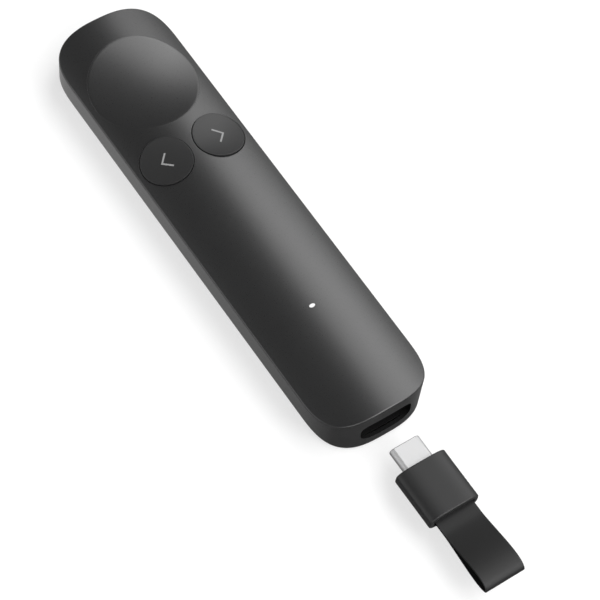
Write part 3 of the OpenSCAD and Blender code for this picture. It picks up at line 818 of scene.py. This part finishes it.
plug_steel = bare_metal("plug_steel", (0.54, 0.54, 0.543), roughness=0.6, grain=(0.05, 2, 0.05))
plug_low, plug_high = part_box("plug_shell")
plug = drawn_shell(PLUG_W, PLUG_H, plug_high.y, plug_low.y, 1)
add_piece(plug, "plug_tube", "receiver", ["plug_shell"], plug_steel)
port_low, port_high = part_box("port_shell")
port = drawn_shell(port_high.x - port_low.x, port_high.z - port_low.z, port_low.y, port_high.y, -1)
add_piece(port, "port_tube", "handset", ["port_shell"], plug_steel)

connector_plastic = moulded("connector_plastic", (0.012, 0.012, 0.013), roughness=0.45,
                            grain=0.08 * MM, depth=0.001 * MM)
contact_gold = bare_metal("contact_gold", (0.85, 0.6, 0.25), roughness=0.25, grain=(0.1, 0.5, 0.1))
for node, material in (("plug_core", connector_plastic), ("port_tongue", connector_plastic),
                       ("plug_contacts", contact_gold), ("port_contacts", contact_gold)):
    dress(node, material)


# ---- Receiver cap --------------------------------------------------------------------
# The grip of the receiver, an oval block of satin ABS with a room for its little board.
# The plug comes out of its front, and a wide recess in its tail takes the strap.

CAP_W = 13.7 * MM
CAP_H = 5.2 * MM
CAP_TAIL_R = 0.4 * MM
CAP_FRONT_R = 0.3 * MM
RECESS_W = 11.4 * MM
RECESS_H = 2.6 * MM
RECESS_DEPTH = 4.5 * MM
RECESS_POWER = 8
CAP_WALL = 0.9 * MM
PLUG_FIT = 0.04 * MM
ROOM_W = 11 * MM
ROOM_H = 3.4 * MM
ROOM_POWER = 16
ROOM_END_T = 0.6 * MM
CAP_STEPS = 5

cap_plastic = moulded("cap_plastic", (0.016, 0.016, 0.0162), roughness=0.4, grain=0.14 * MM,
                      depth=0.001 * MM, gloss=0.22)
cap_low, cap_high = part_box("receiver_cap")
cap = bmesh.new()
rings = [oval(y, ROOM_W / 2, ROOM_H / 2, ROOM_POWER)
         for y in (cap_low.y + RECESS_DEPTH + ROOM_END_T, cap_high.y - CAP_WALL)]
rings += [racetrack(y, PLUG_W + PLUG_FIT, PLUG_H + PLUG_FIT)
          for y in (cap_high.y - CAP_WALL, cap_high.y)]
for end_y, way, radius, steps in ((cap_high.y, -1, CAP_FRONT_R, range(CAP_STEPS + 1)),
                                  (cap_low.y, 1, CAP_TAIL_R, range(CAP_STEPS, -1, -1))):
    for step in steps:
        angle = math.radians(90 * step / CAP_STEPS)
        inset = radius * (1 - math.sin(angle))
        y = end_y + way * radius * (1 - math.cos(angle))
        rings.append(oval(y, CAP_W / 2 - inset, CAP_H / 2 - inset))
for y in (cap_low.y, cap_low.y + RECESS_DEPTH):
    rings.append(oval(y, RECESS_W / 2, RECESS_H / 2, RECESS_POWER))
skin(cap, rings)
add_piece(cap, "cap_moulding", "receiver", ["receiver_cap"], cap_plastic)


# ---- Strap ---------------------------------------------------------------------------
# A loop of soft matt rubber, moulded flat and folded. Its two layers lie together where
# they leave the cap and round the pin, and open to a bow at the far end. The upper layer
# arches more than the lower one.

STRAP_W = 10.8 * MM
STRAP_T = 0.5 * MM
STRAP_EDGE_R = 0.1 * MM
LAYER_GAP = 0.02 * MM
BOW_RISE = 2.2 * MM
BOW_DROP = 1.55 * MM
BOW_START = 0.5 * MM
BOW_STEPS = 72
BOW_SKIPPED = 3
BOW_WIDEST = 0.8
PIN_IN_CAP = 3 * MM
PIN_RING_R = 0.85 * MM
PIN_WRAP = math.radians(280)
PIN_STEPS = 12


def strap_line():
    """Points (y, z) along the middle of the strap's thickness, round the bow and the pin.

    The bow's first steps, inside the cap, are skipped, and near the cap the two layers are
    kept from cutting each other.
    """
    strap_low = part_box("strap")[0]
    start_y = cap_low.y + BOW_START
    end_y = strap_low.y + STRAP_T / 2
    pin_y = cap_low.y + PIN_IN_CAP
    together = (STRAP_T + LAYER_GAP) / 2
    widest = 2 * BOW_WIDEST ** 2 * math.sqrt(1 - BOW_WIDEST)
    points = []
    for step in range(BOW_SKIPPED, BOW_STEPS - BOW_SKIPPED + 1):
        angle = 2 * math.pi * step / BOW_STEPS
        y = start_y - (start_y - end_y) * (1 - math.cos(angle)) / 2
        bow = math.sin(angle) * math.sin(angle / 2) ** 3 / widest
        z = bow * (BOW_RISE if bow > 0 else BOW_DROP)
        if abs(step - BOW_STEPS / 2) > BOW_STEPS / 4:
            z = math.copysign(max(abs(z), together), math.sin(angle))
        points.append((y, z))
    for step in range(PIN_STEPS + 1):
        angle = PIN_WRAP * (step / PIN_STEPS - 0.5)
        points.append((pin_y + PIN_RING_R * math.cos(angle), PIN_RING_R * math.sin(angle)))
    return points


strap_rubber = moulded("strap_rubber", (0.0065, 0.0065, 0.0066), roughness=0.42,
                       grain=0.12 * MM, depth=0.001 * MM, gloss=0.2)
strap = bmesh.new()
line = strap_line()
skin(strap, [[(x, y, BAY_Z + z) for y, z in line] for x in (-STRAP_W / 2, STRAP_W / 2)], "open")
tidy(strap)
bmesh.ops.solidify(strap, geom=strap.faces[:] + strap.edges[:] + strap.verts[:], thickness=STRAP_T)
rounded(strap, [edge for edge in strap.edges
                if all(abs(vert.co.x) > STRAP_W / 2 - TINY for vert in edge.verts)
                and edge.calc_face_angle(0) > SQUARE_EDGE], STRAP_EDGE_R, 2)
add_piece(strap, "strap_loop", "receiver", ["strap"], strap_rubber)
dress("strap_pin", bare_metal("pin_steel", (0.6, 0.6, 0.61), roughness=0.28,
                              grain=(1, 0.08, 0.08)))


# ---- Floor, lights and camera --------------------------------------------------------
# A white studio floor under one very large softbox, with smaller ones to the right and left
# of the nose and of the tail. The camera sees the floor part bleached to pure white. Gloss
# sees it as grey, brighter towards the nose, with painted shade that dims it near the receiver.

FLOOR_SIZE = 12
FLOOR_GAP = 0.05 * MM
CEILING_RADIANCE = 0.04
HORIZON_RADIANCE = 0.8
BLEACH = 0.6
NEAR_IN_GLOSS = 0.15
FAR_IN_GLOSS = 0.58
GLOSS_SHADE_MIDDLE = (-5 * MM, -78 * MM, 0)
GLOSS_SHADE_REACH = 20 * MM
FAR_REACH = 130 * MM

white = bpy.data.materials.new("studio_white")
white.use_nodes = True
nodes, links = white.node_tree.nodes, white.node_tree.links
paper = nodes["Principled BSDF"]
paper.inputs["Base Color"].default_value = (0.92, 0.92, 0.92, 1)
paper.inputs["Roughness"].default_value = 0.9
paper.inputs["Specular IOR Level"].default_value = 0
paths = nodes.new("ShaderNodeLightPath")
bleach = nodes.new("ShaderNodeMapRange")
bleach.inputs["To Max"].default_value = BLEACH
links.new(paths.outputs["Is Camera Ray"], bleach.inputs["Value"])
seen = nodes.new("ShaderNodeMixShader")
links.new(bleach.outputs["Result"], seen.inputs["Fac"])
links.new(paper.outputs["BSDF"], seen.inputs[1])
links.new(nodes.new("ShaderNodeEmission").outputs["Emission"], seen.inputs[2])
# Painted shade: the grey that gloss sees is dimmed round a point near the receiver and the tail,
# in place of the handset's shadow on the floor.
grey = nodes.new("ShaderNodeEmission")
place = nodes.new("ShaderNodeTexCoord")
away = nodes.new("ShaderNodeVectorMath")
away.operation = "DISTANCE"
away.inputs[1].default_value = GLOSS_SHADE_MIDDLE
links.new(place.outputs["Object"], away.inputs[0])
reach = nodes.new("ShaderNodeMapRange")
reach.inputs["From Min"].default_value = GLOSS_SHADE_REACH
reach.inputs["From Max"].default_value = FAR_REACH
links.new(away.outputs["Value"], reach.inputs["Value"])
rise = nodes.new("ShaderNodeMath")
rise.operation = "SQRT"
links.new(reach.outputs["Result"], rise.inputs[0])
shade = nodes.new("ShaderNodeMapRange")
shade.inputs["To Min"].default_value = NEAR_IN_GLOSS
shade.inputs["To Max"].default_value = FAR_IN_GLOSS
links.new(rise.outputs["Value"], shade.inputs["Value"])
links.new(shade.outputs["Result"], grey.inputs["Strength"])
mirrored = nodes.new("ShaderNodeMixShader")
links.new(paths.outputs["Is Glossy Ray"], mirrored.inputs["Fac"])
links.new(seen.outputs["Shader"], mirrored.inputs[1])
links.new(grey.outputs["Emission"], mirrored.inputs[2])
links.new(mirrored.outputs["Shader"], nodes["Material Output"].inputs["Surface"])

floor_form = bmesh.new()
bmesh.ops.create_grid(floor_form, x_segments=1, y_segments=1, size=FLOOR_SIZE / 2,
                      matrix=Matrix.Translation((0, 0, -FLOOR_GAP)))
floor_mesh = bpy.data.meshes.new("studio_floor")
floor_form.to_mesh(floor_mesh)
floor_form.free()
floor_mesh.materials.append(white)
floor = bpy.data.objects.new("studio_floor", floor_mesh)
bpy.context.scene.collection.objects.link(floor)


def softbox(name, azimuth, elevation, roll, distance, width, height, radiance):
    """A rectangular lamp in a direction from the handset, turned to face it."""
    azimuth, elevation = math.radians(azimuth), math.radians(elevation)
    toward = Vector((math.cos(elevation) * math.cos(azimuth),
                     math.cos(elevation) * math.sin(azimuth), math.sin(elevation)))
    across = Vector((0, 0, 1)).cross(toward).normalized()
    facing = Matrix((across, toward.cross(across), toward)).transposed()
    data = bpy.data.lights.new(name, "AREA")
    data.shape = "RECTANGLE"
    data.size = width
    data.size_y = height
    data.energy = radiance * math.pi * width * height
    lamp = bpy.data.objects.new(name, data)
    lamp.matrix_world = (Matrix.Translation(toward * distance)
                         @ (facing @ Matrix.Rotation(math.radians(roll), 3, "Z")).to_4x4())
    bpy.context.scene.collection.objects.link(lamp)


softbox("main_softbox", azimuth=-18.6, elevation=55.4, roll=-12, distance=8,
        width=11.4, height=7.35, radiance=3.6)
softbox("nose_right_softbox", azimuth=33, elevation=38.4, roll=0, distance=0.9,
        width=0.356, height=0.356, radiance=2)
softbox("nose_left_softbox", azimuth=150, elevation=26, roll=0, distance=1.5,
        width=1.4, height=1.6, radiance=1.3)
softbox("tail_right_softbox", azimuth=-67, elevation=28, roll=0, distance=1.5,
        width=0.6, height=1.25, radiance=4)
softbox("tail_left_softbox", azimuth=-115, elevation=30, roll=0, distance=1.5,
        width=0.9, height=1, radiance=3)

# The room glows at the horizon and is dark overhead. The camera sees all of it as white.
world = bpy.data.worlds.new("studio")
bpy.context.scene.world = world
world.use_nodes = True
nodes, links = world.node_tree.nodes, world.node_tree.links
toward = nodes.new("ShaderNodeTexCoord")
parts = nodes.new("ShaderNodeSeparateXYZ")
links.new(toward.outputs["Generated"], parts.inputs["Vector"])
walls = nodes.new("ShaderNodeMapRange")
walls.interpolation_type = "SMOOTHSTEP"
walls.inputs["From Min"].default_value = 0.1
walls.inputs["From Max"].default_value = 0.5
walls.inputs["To Min"].default_value = HORIZON_RADIANCE
walls.inputs["To Max"].default_value = CEILING_RADIANCE
links.new(parts.outputs["Z"], walls.inputs["Value"])
paths = nodes.new("ShaderNodeLightPath")
brightness = nodes.new("ShaderNodeMath")
brightness.operation = "MAXIMUM"
links.new(walls.outputs["Result"], brightness.inputs[0])
links.new(paths.outputs["Is Camera Ray"], brightness.inputs[1])
nodes["Background"].inputs["Color"].default_value = (1, 1, 1, 1)
links.new(brightness.outputs["Value"], nodes["Background"].inputs["Strength"])

camera_data = bpy.data.cameras.new("camera")
camera_data.sensor_width = 36
camera_data.lens = 154.54
camera_data.clip_start = 0.01
camera = bpy.data.objects.new("camera", camera_data)
camera.location = (-0.21116, -0.24678, 0.52999)
camera.rotation_euler = (math.radians(29.7855), math.radians(-5.6687), math.radians(-34.0949))
bpy.context.scene.collection.objects.link(camera)
bpy.context.scene.camera = camera

bpy.context.scene.view_settings.view_transform = "Standard"
